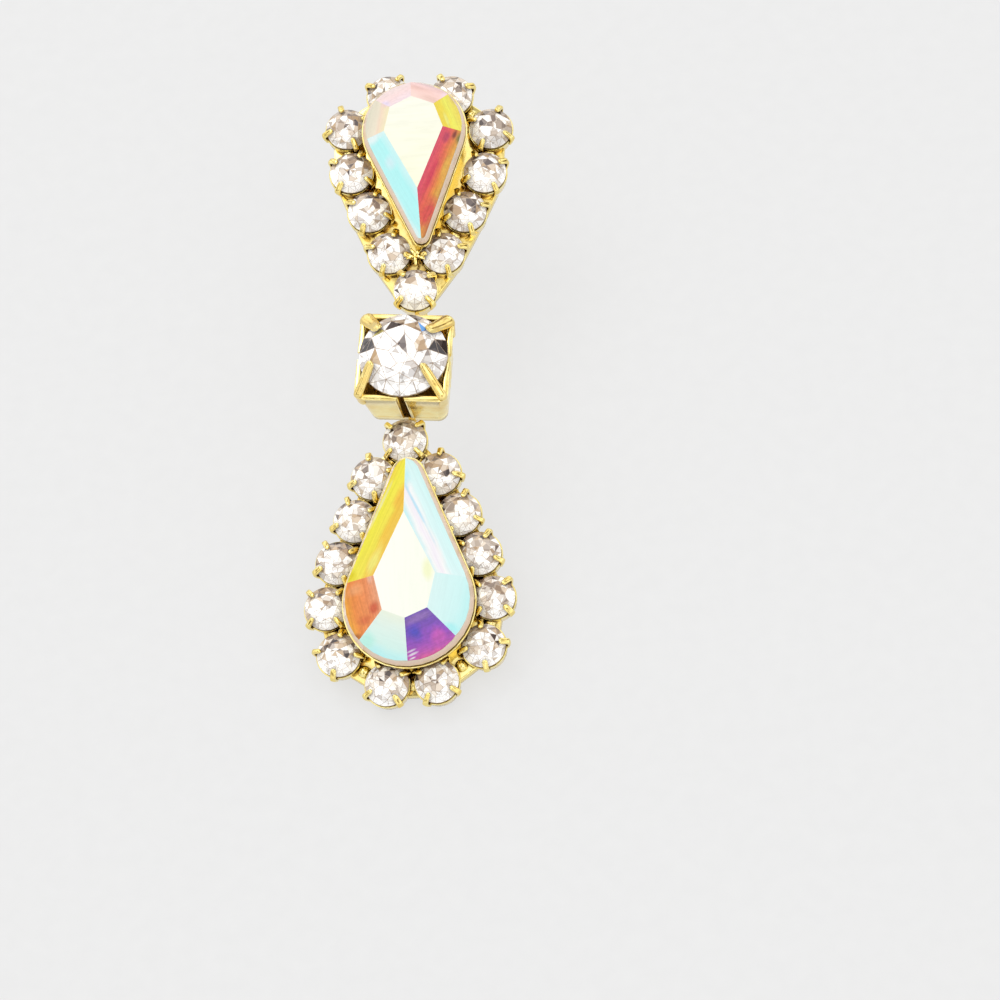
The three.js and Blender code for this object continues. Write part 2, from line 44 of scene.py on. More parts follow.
# Camera: its back and right directions, the point that it looks at and its distance
CAMERA_BACK = Vector((0.12, -0.553, 0.8245))
CAMERA_RIGHT = Vector((0.9895, -0.001, -0.1447))
CAMERA_AIM = Vector((5.33, -8.68, 6.0)) * MM
CAMERA_DISTANCE = 231.9 * MM
SENSOR = 36.0
LENS = 137.4

# Strength of the sky, and how much brighter than its own colour a matt face shows in its light
SKY_STRENGTH = 1.42
STUDIO_GAIN = 1.4

# Heights above the back plane of a ring setting
HALO_GIRDLE_HEIGHT = 1.3
PLATE_THICKNESS = 0.75
PLATE_EDGE = 0.1
DROP_GIRDLE_HEIGHT = 2.65
UPPER_GIRDLE_HEIGHT = 2.75
EYE_DROP = 0.5
EYE_INSET = 0.55
EYE_RADIUS = 0.52
EYE_WIRE = 0.14

# How far the back plates reach past the axis of each small stone, from the first one on
DROP_REACH = (0.68, 0.61, 0.61, 0.61, 0.61, 0.68, 0.68, 0.68, 0.68, 0.61, 0.61, 0.61, 0.61)
UPPER_REACH = (0.48, 0.88, 1.16, 1.22, 1.22, 1.22, 1.22, 1.22, 1.16, 0.88, 0.48)

# Cups of the small stones: (radius, height) up the outside, over the rim and down the inside
CUP_RIM = 1.43
CUP_PROFILE = (
    (0.02, 0.0), (1.2, 0.0), (1.26, 0.06), (1.34, 0.4), (1.4, 1.02), (CUP_RIM, 1.17),
    (1.4, 1.22), (1.33, 1.22), (1.21, 1.12), (0.5, 0.36), (0.02, 0.34))

# Beads of solder between the cups: how far they stand over the plate, flat and upright radius
SOLDER_LIFT = 0.1
SOLDER_RADII = (0.4, 0.3)

# Claws of the small stones. The foot is measured from the cup's rim, the shoulder's points from
# the stone's edge, both as (out, above the girdle's lower edge). Pairs are ranges.
HALO_CLAW_SWING = 0.1
HALO_CLAW_FOOT = (-0.02, -0.55)
HALO_CLAW_SHOULDER = ((0.18, -0.1), (0.2, 0.18), (0.0, 0.4))
HALO_CLAW_REACH = (0.3, 0.46)
HALO_CLAW_LIFT = 0.06
HALO_FOOT_WIDTH = (0.38, 0.46)
HALO_TIP_WIDTH = (0.28, 0.38)
HALO_CLAW_THICKNESS = 0.22

# Claws that meet in a star between the upper pear stone's tip and the last small stone:
# its place, then the stem and one claw as (radius, height), and the claw's widths and thickness
UPPER_STAR = Vector((0.0, -2.15, 0.0))
STAR_STEM = ((0.02, 0.5), (0.24, 0.5), (0.22, 1.4), (0.16, 1.78), (0.02, 1.84))
STAR_CLAWS = 5
STAR_CLAW = ((0.0, 1.5), (0.2, 1.8), (0.62, 1.66))
STAR_CLAW_WIDTHS = (0.26, 0.16)
STAR_CLAW_THICKNESS = 0.16

# Pear stones: radius of the tip, and how many degrees each is swung in its ring
DROP_TIP = 1.0
DROP_SWING = -1.1
UPPER_TIP = 0.5
UPPER_SWING = 4.8

# Clearance of the stones, and how far a pear cup's rim is under the stone's girdle
SEAT_GAP = 0.12
PEAR_CUP_EDGE = 0.12
PEAR_RIM_DROP = 0.2

# Pear cup's section above the plate: how far it is set in from the stone's edge, and how far
# under the rim, up the outside, over the rim and down the inside
PEAR_CUP_FOOT = 1.5
PEAR_CUP_SECTION = (
    (0.5, 0.9), (0.06 - PEAR_CUP_EDGE, 0.25), (0.03 - PEAR_CUP_EDGE, 0.05), (0.05 - PEAR_CUP_EDGE, 0.0),
    (0.03, 0.0), (0.08, 0.05), (0.6, 0.35))
PEAR_CUP_DEPTH = 1.1

# Square box
BOX_BASE = 4.8
BOX_TOP = 5.6
BOX_HEIGHT = 4.3
BOX_WALL = 0.34
BOX_FLOOR = 0.4
BOX_CORNER = 0.6
SLIT_WIDTH = 0.52
SLIT_SILL = 0.75
SLIT_FOLD = 0.14
SLIT_FOLD_PROUD = 0.05

# Rim of the box's wall, down from its top: how far both of its faces close in, how far both are
# folded out
WALL_RIM = ((0.55, 0.0, 0.0), (0.4, -0.02, 0.05), (0.12, -0.04, 0.08), (0.03, 0.02, 0.07), (0.0, 0.1, 0.05))

# Claws of the box: eighth of the turn, swing in degrees about the foot, how far the tip reaches
# in past the stone's edge, and the widths of the foot and the tip
BOX_CLAWS = (
    (1, 6, 0.8, (1.15, 0.62)),
    (3, -6, 0.8, (1.15, 0.62)),
    (5, 18, 0.9, (0.62, 0.56)),
    (7, -6, 1.1, (0.62, 0.56)),
)
BOX_CLAW_THICKNESS = 0.32
BOX_CLAW_CURL = 0.85

# Cells a metre of the noise in the materials
GOLD_CLOUDS = 1100.0
GOLD_DENTS = 1500.0
CRYSTAL_CELLS = 2300.0
CRYSTAL_SMEARS = 1800.0
CRYSTAL_GRAIN = 9000.0
COATING_CLOUDS = 900.0
COATING_SPECKLES = 5200.0
COATING_GRAIN = 7000.0
PAPER_FIBRES = 900.0

# Depth of the dents in the gold and of the grain in the stones, and how far painted shade reaches out of a
# crevice
DENT_DEPTH = 0.06 * MM
GRAIN_DEPTH = 0.01 * MM
PAINTED_SHADE_REACH = 0.7 * MM

# Distance under which doubled points are joined
WELD_DISTANCE = 0.002 * MM

SEED = 7

# How unevenly the patches of colour on a facet end
PATCH_WOBBLE = 4.5


def srgb(red, green, blue):
    """A linear colour from three values of 0 to 255."""
    def linear(value):
        share = value / 255
        return share / 12.92 if share <= 0.04045 else ((share + 0.055) / 1.055) ** 2.4
    return (linear(red), linear(green), linear(blue), 1.0)


def shown(red, green, blue):
    """The surface colour that shows as this one in the studio's light."""
    return (*(value / STUDIO_GAIN for value in srgb(red, green, blue)[:3]), 1.0)


def add_camera():
    """The camera at the photograph's angle."""
    camera = bpy.data.objects.new("camera", bpy.data.cameras.new("camera"))
    bpy.context.scene.collection.objects.link(camera)
    back = CAMERA_BACK.normalized()
    right = (CAMERA_RIGHT - back * CAMERA_RIGHT.dot(back)).normalized()
    up = back.cross(right)
    turn = Matrix((right, up, back)).transposed().to_4x4()
    camera.matrix_world = Matrix.Translation(CAMERA_AIM + back * CAMERA_DISTANCE) @ turn
    camera.data.sensor_width = SENSOR
    camera.data.lens = LENS
    camera.data.clip_start = 0.01
    camera.data.clip_end = 10.0
    bpy.context.scene.camera = camera


def fill(tree, socket, value):
    """Sets a socket, or joins it where the value is another node's socket."""
    if isinstance(value, bpy.types.NodeSocket):
        tree.links.new(value, socket)
    else:
        socket.default_value = value


def node(tree, kind, settings=None, **inputs):
    """A shader node with its settings made and its named sockets filled."""
    made = tree.nodes.new(kind)
    for name, value in (settings or {}).items():
        setattr(made, name, value)
    for name, value in inputs.items():
        fill(tree, made.inputs[name.replace("_", " ")], value)
    return made


def maths(tree, operation, *values, clamp=False):
    """The result of a Math node."""
    made = node(tree, "ShaderNodeMath", {"operation": operation, "use_clamp": clamp})
    for socket, value in zip(made.inputs, values):
        fill(tree, socket, value)
    return made.outputs["Value"]


def vector_maths(tree, operation, result, *values):
    """The named result of a Vector Math node."""
    made = node(tree, "ShaderNodeVectorMath", {"operation": operation})
    for socket, value in zip(made.inputs, values):
        fill(tree, socket, value)
    return made.outputs[result]


def ramp(tree, factor, stops, interpolation="LINEAR"):
    """A colour ramp from (position, colour) stops."""
    made = node(tree, "ShaderNodeValToRGB", Fac=factor)
    elements = made.color_ramp.elements
    made.color_ramp.interpolation = interpolation
    while len(elements) < len(stops):
        elements.new(0.5)
    for element, (position, colour) in zip(elements, stops):
        element.position = position
        element.color = colour
    return made.outputs["Color"]


def mixed(tree, kind, factor, first, second):
    """Two colours mixed by a factor."""
    made = node(tree, "ShaderNodeMixRGB", {"blend_type": kind}, Fac=factor, Color1=first, Color2=second)
    return made.outputs["Color"]


def scaled(tree, factor, low, high):
    """A factor of 0 to 1 brought between low and high."""
    made = node(tree, "ShaderNodeMapRange", Value=factor, To_Min=low, To_Max=high)
    return made.outputs["Result"]


def grey(value):
    return (value, value, value, 1.0)


def new_material(name):
    """An empty material, its node tree and its shader."""
    material = bpy.data.materials.new(name)
    material.use_nodes = True
    tree = material.node_tree
    tree.nodes.clear()
    shader = node(tree, "ShaderNodeBsdfPrincipled")
    output = node(tree, "ShaderNodeOutputMaterial")
    tree.links.new(shader.outputs["BSDF"], output.inputs["Surface"])
    return material, tree, shader


def roughen(tree, shader, place, scale, strength, distance):
    """Fine bumps all over."""
    grain = node(tree, "ShaderNodeTexNoise", Vector=place, Scale=scale, Detail=2.0)
    bump = node(tree, "ShaderNodeBump", Height=grain.outputs["Fac"], Strength=strength, Distance=distance)
    tree.links.new(bump.outputs["Normal"], shader.inputs["Normal"])


def gold_material(name, bright, deep, roughness):
    """Plated gold: cloudy colour, bright rubbed edges, painted shade in hollows, in crevices and under the
    stones, fine dents and uneven polish.
    """
    material, tree, shader = new_material(name)
    place = node(tree, "ShaderNodeTexCoord").outputs["Object"]
    clouds = node(tree, "ShaderNodeTexNoise", Vector=place, Scale=GOLD_CLOUDS, Detail=3.0, Roughness=0.6)
    colour = ramp(tree, clouds.outputs["Fac"], [(0.3, deep), (0.66, bright)])
    # Rubbed edges stay bright, which is wear; the duller, darker tone away from them, deepest in hollows,
    # is partly painted shade
    edges = node(tree, "ShaderNodeNewGeometry").outputs["Pointiness"]
    worn = ramp(tree, edges, [(0.44, grey(0)), (0.58, grey(1))])
    dull_and_shaded = mixed(tree, "MULTIPLY", 1.0, colour, srgb(220, 190, 134))
    colour = mixed(tree, "MIX", worn, dull_and_shaded, colour)
    # Painted shade: dark brown where nearby surfaces close in, in crevices, between the cups and under the
    # stones
    depth = node(tree, "ShaderNodeAmbientOcclusion", {"samples": 8}, Distance=PAINTED_SHADE_REACH)
    unshaded_share = ramp(tree, depth.outputs["AO"], [(0.18, grey(0)), (0.6, grey(1))])
    colour = mixed(tree, "MIX", unshaded_share, srgb(108, 68, 18), colour)
    tree.links.new(colour, shader.inputs["Base Color"])
    shader.inputs["Metallic"].default_value = 1.0
    polish = scaled(tree, clouds.outputs["Fac"], roughness * 0.7, roughness * 1.5)
    tree.links.new(polish, shader.inputs["Roughness"])
    roughen(tree, shader, place, GOLD_DENTS, 0.32, DENT_DEPTH)
    return material


def glossy(shader):
    """The surface of polished glass."""
    shader.inputs["IOR"].default_value = 1.5
    shader.inputs["Specular IOR Level"].default_value = 0.35
    shader.inputs["Coat Weight"].default_value = 0.5
    shader.inputs["Coat Roughness"].default_value = 0.02


def crystal_material(name):
    """Cut crystal over foil, its reflections painted in. Each shard carries the tone, warmth and fire
    (painted coloured sparkle) of a painted reflection in the face colour; finer cells break it up,
    with thin lines between them."""
    material, tree, shader = new_material(name)
    shard = node(tree, "ShaderNodeVertexColor", {"layer_name": "shard"}).outputs["Color"]
    parts = node(tree, "ShaderNodeSeparateColor", Color=shard)
    place = node(tree, "ShaderNodeTexCoord").outputs["Object"]
    cells, seams = (
        node(tree, "ShaderNodeTexVoronoi", {"feature": feature}, Vector=place, Scale=CRYSTAL_CELLS)
        for feature in ("F1", "DISTANCE_TO_EDGE"))
    glint = node(tree, "ShaderNodeSeparateColor", Color=cells.outputs["Color"])
    broken = scaled(tree, glint.outputs["Red"], -0.24, 0.16)
    tone = maths(tree, "ADD", parts.outputs["Red"], broken, clamp=True)
    cold = ramp(tree, tone, [
        (0.0, shown(48, 42, 48)), (0.25, shown(112, 104, 106)), (0.5, shown(186, 178, 174)),
        (0.74, shown(236, 232, 230)), (0.9, srgb(252, 252, 252))])
    warm = ramp(tree, tone, [
        (0.0, shown(78, 58, 44)), (0.25, shown(150, 118, 88)), (0.5, shown(212, 180, 142)),
        (0.74, shown(242, 222, 198)), (0.9, srgb(252, 248, 240))])
    colour = mixed(tree, "MIX", parts.outputs["Green"], cold, warm)
    lines = ramp(tree, seams.outputs["Distance"], [(0.0, shown(178, 160, 146)), (0.045, grey(1))])
    smear = node(tree, "ShaderNodeTexNoise", Vector=place, Scale=CRYSTAL_SMEARS, Detail=2.0)
    faint = ramp(tree, smear.outputs["Fac"], [(0.42, grey(0)), (0.6, grey(0.75))])
    colour = mixed(tree, "MULTIPLY", faint, colour, lines)
    fire = ramp(tree, parts.outputs["Blue"], [
        (0.0, shown(80, 170, 255)), (0.3, shown(150, 140, 240)), (0.5, shown(255, 244, 160))],
        "CONSTANT")
    burning = maths(tree, "GREATER_THAN", parts.outputs["Blue"], 0.1)
    colour = mixed(tree, "MIX", burning, colour, fire)
    tree.links.new(colour, shader.inputs["Base Color"])
    tree.links.new(scaled(tree, smear.outputs["Fac"], 0.02, 0.1), shader.inputs["Roughness"])
    roughen(tree, shader, place, CRYSTAL_GRAIN, 0.03, GRAIN_DEPTH)
    glossy(shader)
    return material


def facet_material(name, stops, angle=0.0, streak=0.12, mottle=0.1, patches=()):
    """One coated facet, its shimmer and reflections painted in: bands of colour across it, soft patches,
    fine streaks of painted reflection and speckles.
    A stop is its place across and its colour. A patch is its place (across, along), its half
    sizes and its colour. All are shares of the facet."""
    material, tree, shader = new_material(name)
    uv = node(tree, "ShaderNodeUVMap", {"uv_map": "facet"}).outputs["UV"]
    place = node(tree, "ShaderNodeTexCoord").outputs["Object"]
    cloud = node(tree, "ShaderNodeTexNoise", Vector=place, Scale=COATING_CLOUDS, Detail=4.0).outputs["Fac"]
    wobble = scaled(tree, cloud, -0.14, 0.14)
    turned = node(tree, "ShaderNodeVectorRotate", {"rotation_type": "Z_AXIS"},
                  Vector=uv, Center=(0.5, 0.5, 0.0), Angle=math.radians(angle)).outputs["Vector"]
    across = node(tree, "ShaderNodeSeparateXYZ", Vector=turned).outputs["X"]
    colour = ramp(tree, maths(tree, "ADD", across, wobble), [(at, shown(*tint)) for at, tint in stops])
    uneven = maths(tree, "MULTIPLY", wobble, PATCH_WOBBLE)
    for at, half, tint in patches:
        offset = vector_maths(tree, "SUBTRACT", "Vector", uv, (*at, 0.0))
        spread = vector_maths(tree, "DIVIDE", "Vector", offset, (*half, 1.0))
        far = maths(tree, "ADD", vector_maths(tree, "LENGTH", "Value", spread), uneven)
        near = ramp(tree, far, [(0.3, grey(1)), (1.0, grey(0))])
        colour = mixed(tree, "MIX", near, colour, shown(*tint))
    # Fine streaks of painted reflection running along the facet
    stretched = node(tree, "ShaderNodeMapping", Vector=turned, Scale=(22.0, 2.0, 1.0)).outputs["Vector"]
    streaks = node(tree, "ShaderNodeTexNoise", Vector=stretched, Scale=1.0, Detail=2.0)
    lines = ramp(tree, streaks.outputs["Fac"], [(0.38, grey(0.55)), (0.6, grey(1))])
    colour = mixed(tree, "MULTIPLY", streak, colour, lines)
    speckle = node(tree, "ShaderNodeTexNoise", Vector=place, Scale=COATING_SPECKLES, Detail=3.0)
    spots = ramp(tree, speckle.outputs["Fac"], [(0.36, grey(0.5)), (0.62, grey(1))])
    colour = mixed(tree, "MULTIPLY", mottle, colour, spots)
    tree.links.new(colour, shader.inputs["Base Color"])
    tree.links.new(scaled(tree, cloud, 0.02, 0.09), shader.inputs["Roughness"])
    roughen(tree, shader, place, COATING_GRAIN, 0.04, GRAIN_DEPTH)
    glossy(shader)
    return material


class Form:
    """Points in millimetres and the faces between them, gathered into one mesh."""

    def __init__(self):
        self.points = []
        self.faces = []

    def add(self, points, faces):
        start = len(self.points)
        self.points.extend(Vector(point) for point in points)
        self.faces.extend(tuple(start + i for i in face) for face in faces)

    def loft(self, rings, closed=True):
        """A skin between rings of equal counts, with flat ends or, where open, joined end to end."""
        count = len(rings[0])
        faces = []
        for level in range(len(rings) - 1):
            for i in range(count):
                low = level * count + i
                after = level * count + (i + 1) % count
                faces.append((low, after, after + count, low + count))
        last = (len(rings) - 1) * count
        if closed:
            faces.append(tuple(reversed(range(count))))
            faces.append(tuple(range(last, last + count)))
        else:
            for i in range(count):
                after = (i + 1) % count
                faces.append((last + i, last + after, after, i))
        self.add([point for ring in rings for point in ring], faces)

    def lathe(self, centre, profile, steps):
        """A solid of revolution about the upright axis through centre, from (radius, height)."""
        self.loft([[centre + polar(radius, 2 * math.pi * i / steps, height) for i in range(steps)]
                   for radius, height in profile])

    def ball(self, centre, radii, steps=12):
        """An upright ellipsoid from its flat and its upright radius."""
        levels = steps // 2
        pole = 0.02
        tilts = [math.pi * ((level + pole) / (levels + 2 * pole) - 0.5) for level in range(levels + 1)]
        profile = [(radii[0] * math.cos(tilt), radii[1] * math.sin(tilt)) for tilt in tilts]
        self.lathe(centre, profile, steps)

    def ring_bar(self, centre, radius, wire, steps=28, sides=12):
        """A torus that stands upright, with its hole along Y."""
        rings = []
        for i in range(steps):
            angle = 2 * math.pi * i / steps
            out = Vector((math.cos(angle), 0, math.sin(angle)))
            ring = []
            for k in range(sides):
                turn = 2 * math.pi * k / sides
                swell = Vector((0, wire * math.sin(turn), 0))
                ring.append(centre + out * (radius + wire * math.cos(turn)) + swell)
            rings.append(ring)
        self.loft(rings, closed=False)

    def prong(self, centre, angle, path, widths, thickness, sides=14, power=0.7, curl=0.0):
        """A claw that follows (radius, height) points upright, with a rounded tip.
        Its width runs from the first to the second of widths, and curl bends its edges back."""
        out = polar(1, angle)
        side = Vector((-out.y, out.x, 0))
        fine = smooth_path(path)
        round_from = 0.86
        blunt = 0.04
        flat = 0.45
        rings = []
        for i, (radius, height) in enumerate(fine):
            share = i / (len(fine) - 1)
            before = fine[max(i - 1, 0)]
            after = fine[min(i + 1, len(fine) - 1)]
            run = Vector((after[0] - before[0], after[1] - before[1])).normalized()
            face = out * run.y - Vector((0, 0, 1)) * run.x
            close = max(0.0, (share - round_from) / (1 - round_from))
            swell = math.sqrt(max(0.0, 1 - close ** 2)) * (1 - blunt) + blunt
            width = widths[0] + (widths[1] - widths[0]) * share
            ring = []
            for k in range(sides):
                turn = 2 * math.pi * k / sides
                cosine = math.copysign(abs(math.cos(turn)) ** power, math.cos(turn))
                sine = math.copysign(abs(math.sin(turn)) ** power, math.sin(turn))
                aside = cosine * width / 2 * swell
                proud = sine * thickness / 2 * (flat + (1 - flat) * swell) - curl * aside ** 2
                ring.append(centre + out * radius + Vector((0, 0, height)) + side * aside + face * proud)
            rings.append(ring)
        self.loft(rings)


def polar(radius, angle, height=0.0):
    """A point at a distance and an angle from the upright axis."""
    return Vector((radius * math.cos(angle), radius * math.sin(angle), height))


def smooth_path(path, steps=6):
    """A Catmull-Rom curve through flat points."""
    points = [path[0], *path, path[-1]]
    fine = []
    for i in range(1, len(points) - 2):
        a, b, c, d = (Vector(point) for point in points[i - 1:i + 3])
        for step in range(steps):
            t = step / steps
            fine.append(0.5 * (2 * b + (c - a) * t + (2 * a - 5 * b + 4 * c - d) * t ** 2
                               + (3 * b - a - 3 * c + d) * t ** 3))
    fine.append(Vector(path[-1]))
    return fine


def placed_piece(piece, replaced):
    """A piece that rides on the one body and stands for a node, which it hides."""
    bpy.context.scene.collection.objects.link(piece)
    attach(piece, "root")
    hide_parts(replaced)
    return piece


def finished(name, form, place, material, replaced, smooth_angle=math.radians(38)):
    """A closed, outward-facing mesh piece from a form."""
    mesh = bpy.data.meshes.new(name)
    mesh.from_pydata([place @ point for point in form.points], [], form.faces)
    shape = bmesh.new()
    shape.from_mesh(mesh)
    bmesh.ops.recalc_face_normals(shape, faces=shape.faces)
    shape.to_mesh(mesh)
    shape.free()
    mesh.materials.append(material)
    for polygon in mesh.polygons:
        polygon.use_smooth = True
    mesh.set_sharp_from_angle(angle=smooth_angle)
    return placed_piece(bpy.data.objects.new(name, mesh), replaced)


def vertices_in(name, inverse):
    """A node's points in the frame whose inverse is given."""
    return [inverse @ vertex.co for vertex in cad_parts[name].data.vertices]


def table_of(name):
    """Centre and outward direction of a stone's table, in metres."""
    groups = {}
    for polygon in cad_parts[name].data.polygons:
        key = tuple(round(value, 2) for value in polygon.normal)
        groups.setdefault(key, []).append(polygon)
    best = max(groups.values(), key=lambda faces: sum(face.area for face in faces))
    area = sum(face.area for face in best)
    centre = sum((face.center * face.area for face in best), Vector()) / area
    return centre, best[0].normal.normalized()


def names_of(prefix):
    return sorted(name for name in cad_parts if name.startswith(prefix))


def stone_frame(name, along, up, girdle_height):
    """A frame with +Z out of a stone's table and +Y along, whose origin is under the stone's
    axis by the girdle's height. It scales millimetres to metres."""
    along = (along - up * along.dot(up)).normalized()
    turn = Matrix((along.cross(up), along, up)).transposed().to_4x4()
    place = Matrix.Translation(table_of(name)[0]) @ turn @ Matrix.Scale(MM, 4)
    girdle = measured(name, place)["girdle_low"]
    return place @ Matrix.Translation((0, 0, girdle - girdle_height))


def ring_place(prefix, tip_stone, end_stones):
    """The frame of a ring setting: its origin is on the back plane under the tip's stone,
    and +Y runs from the round end to the tip."""
    def named(number):
        return f"{prefix}_halo_stone_{number:02d}"
    up = sum((table_of(name)[1] for name in names_of(f"{prefix}_halo_stone_")), Vector()).normalized()
    ends = sum((table_of(named(i))[0] for i in end_stones), Vector()) / len(end_stones)
    return stone_frame(named(tip_stone), table_of(named(tip_stone))[0] - ends, up, HALO_GIRDLE_HEIGHT)


def pear_place(prefix, place, swing):
    """The frame of a pear stone on the back plane, with its origin under the pear's round centre."""
    swung = place @ Matrix.Rotation(math.radians(swing), 4, "Z")
    points = vertices_in(f"{prefix}_pear_stone", swung.inverted())
    high = max(point.x for point in points)
    low = min(point.x for point in points)
    round_end = min(point.y for point in points)
    return swung @ Matrix.Translation(((high + low) / 2, round_end + (high - low) / 2, 0))


def square_place():
    """The frame of the square box, with its origin under the middle of its base."""
    _, up = table_of("square_stone")
    aim = (table_of("upper_halo_stone_06")[0] - table_of("drop_halo_stone_01")[0]).normalized()
    walls = [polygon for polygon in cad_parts["square_setting"].data.polygons
             if abs(polygon.normal.dot(up)) < 0.3 and polygon.normal.dot(aim) > 0.8]
    along = sum((polygon.normal * polygon.area for polygon in walls), Vector())
    return stone_frame("square_stone", along, up, BOX_HEIGHT + SEAT_GAP)


def measured(name, place):
    """A stone's size in the millimetres of its place: where its axis is, its radii and heights."""
    inverse = place.inverted()
    table = inverse @ table_of(name)[0]
    spread = [(math.hypot(p.x - table.x, p.y - table.y), p.z) for p in vertices_in(name, inverse)]
    radius = max(far for far, _ in spread)
    girdle = [z for far, z in spread if far > 0.98 * radius]
    return {
        "axis": Vector((table.x, table.y, 0)),
        "radius": radius,
        "table": max(far for far, z in spread if z > table.z - 0.01),
        "top": table.z,
        "girdle_top": max(girdle),
        "girdle_low": min(girdle),
        "culet": min(z for _, z in spread),
    }


# Painted reflections in a stone's shards: tone from dark 0 to white 1, warmth from grey 0 to beige 1, and
# fire (painted coloured sparkle)
LIGHT_LOOKS = (
    (1.0, 0.3, 0.0), (0.98, 0.6, 0.0), (0.86, 0.4, 0.0), (1.0, 0.4, 0.0), (0.8, 0.8, 0.0),
    (1.0, 0.1, 0.0), (0.94, 0.8, 0.0), (0.76, 0.5, 0.0))
DARK_LOOKS = (
    (0.24, 0.2, 0.0), (0.5, 0.4, 0.0), (0.58, 0.9, 0.0), (0.44, 0.3, 0.0), (0.4, 0.7, 0.0),
    (0.68, 0.9, 0.0), (0.62, 0.4, 0.0), (0.62, 1.0, 0.0))
# The whitest looks are painted highlights, for the side of a stone away from its painted shade
BRIGHT_LOOKS = (
    (1.0, 0.0, 0.0), (1.0, 0.1, 0.0), (1.0, 0.0, 0.0), (0.88, 0.2, 0.0), (1.0, 0.2, 0.0))
RIM_LOOK = (0.5, 0.6, 0.0)
LINE_LOOK = (0.58, 0.55, 0.0)

# Painted reflections in the large stone, dark patches and sparks of fire: degrees to the left of its upper
# side, distance and reach in shares of its radius, and look
SQUARE_REFLECTIONS = (
    (75, 0.86, 0.19, (0.12, 0.1, 0.0)),
    (-81, 0.9, 0.19, (0.12, 0.1, 0.0)),
    (14, 0.58, 0.12, (0.2, 0.1, 0.0)),
    (17, 0.16, 0.14, (0.34, 0.1, 0.0)),
    (-25, 0.72, 0.13, (0.5, 0.8, 0.0)),
    (-40, 0.6, 0.13, (0.9, 0.0, 0.2)),
    (86, 0.7, 0.08, (0.8, 0.0, 0.4)),
    (58, 0.7, 0.11, (0.95, 0.0, 0.6)),
    (106, 0.5, 0.14, (0.62, 1.0, 0.0)),
    (-107, 0.62, 0.11, (0.62, 0.1, 0.0)),
    (-168, 0.62, 0.13, (0.8, 0.0, 0.0)),
    (28, 0.93, 0.12, (0.72, 0.6, 0.0)),
    (0, 0.94, 0.12, (0.66, 0.5, 0.0)),
    (-30, 0.93, 0.12, (0.76, 0.6, 0.0)),
)


def shard_look(chance, share, angle, shade, painted_reflections):
    """The painted reflection of a shard at a share of the radius and an angle from the stone's upper side:
    dark painted shade is likelier towards that side, painted highlights towards the other. A stone with
    painted reflections of its own is painted bright between them."""
    for degrees, out, reach, look in painted_reflections:
        if (polar(share, angle) - polar(out, math.radians(degrees))).length < reach:
            return look
    dark = shade * (0.3 + share * math.cos(angle))
    if chance.random() < dark:
        return chance.choice(DARK_LOOKS)
    bright = painted_reflections or chance.random() < -0.9 * share * math.cos(angle)
    return chance.choice(BRIGHT_LOOKS if bright else LIGHT_LOOKS)


def cut_stone(name, place, turn, upwards, material, shade=0.76, line=0.02, painted_reflections=()):
    """A round stone whose table is broken into a lopsided star, with split kites and girdle
    facets round it, and a line along each edge, all toned as painted reflections. Upwards is the
    direction of its side of painted shade."""
    size = measured(name, place)
    chance = random.Random(name)
    axis = size["axis"]
    radius = size["radius"]
    top = size["top"]
    form = Form()
    looks = []

    def at(distance, eighths, height):
        return axis + polar(distance, turn + eighths * math.pi / 4, height)

    def shard(points, look=None):
        count = len(points)
        centre = sum(points, Vector()) / count
        if look:
            form.add(points, [tuple(range(count))])
            looks.append(look)
            return
        reach = sum((point - centre).length for point in points) / count
        inner = [point.lerp(centre, min(0.3, line / reach)) for point in points]
        border = [(i, (i + 1) % count, count + (i + 1) % count, count + i) for i in range(count)]
        form.add([*points, *inner], [tuple(range(count, 2 * count)), *border])
        middle = centre - axis
        angle = math.atan2(middle.y, middle.x) - upwards
        share = math.hypot(middle.x, middle.y) / radius
        looks.append(shard_look(chance, share, angle, shade, painted_reflections))
        looks.extend([LINE_LOOK] * count)

    corners = [at(size["table"], i, top) for i in range(8)]
    edge = []
    for i, corner in enumerate(corners):
        edge += [corner, corner.lerp(corners[(i + 1) % 8], 0.5)]
    stray = 0.16
    heart = axis + Vector((
        chance.uniform(-stray, stray) * radius, chance.uniform(-stray, stray) * radius, top))
    feet = [2 * i + chance.choice((0, 1)) for i in range(8)]
    inner = [heart.lerp(edge[foot], chance.uniform(0.3, 0.72)) for foot in feet]
    for i, foot in enumerate(feet):
        after = (i + 1) % 8
        reach = feet[after] + (16 if after == 0 else 0)
        shard([heart, inner[i], inner[after]])
        shard([inner[i], *(edge[k % 16] for k in range(foot, reach + 1)), inner[after]])

    middle = size["table"] + 0.44 * (radius - size["table"])
    middle_height = top - 0.3 * (top - size["girdle_top"])
    for i in range(8):
        corner = corners[i]
        star = at(middle, i + 0.5, middle_height)
        before = at(middle, i - 0.5, middle_height)
        foot = at(radius, i, size["girdle_top"])
        split = corner.lerp(foot, chance.uniform(0.35, 0.65))
        shard([corner, star, corners[(i + 1) % 8], edge[2 * i + 1]])
        for side in (before, star):
            shard([corner, side, split])
            shard([split, side, foot])
        for start in (0.0, 0.5):
            shard([star, *(at(radius, i + start + step / 4, size["girdle_top"]) for step in range(3))])
        for step in range(4):
            low = [at(radius, i + (step + k) / 4, size["girdle_low"]) for k in (0, 1)]
            high = [at(radius, i + (step + k) / 4, size["girdle_top"]) for k in (1, 0)]
            shard([*low, *high], RIM_LOOK)
            shard([Vector((axis.x, axis.y, size["culet"])), low[1], low[0]], RIM_LOOK)
    piece = finished(f"{name}_cut", form, place, material, name, math.radians(1))
    colours = piece.data.color_attributes.new("shard", "FLOAT_COLOR", "CORNER")
    for polygon, look in zip(piece.data.polygons, looks):
        for corner in polygon.loop_indices:
            colours.data[corner].color = (*look, 1.0)
        polygon.use_smooth = False
    weld = piece.modifiers.new("weld", "WELD")
    weld.merge_threshold = WELD_DISTANCE


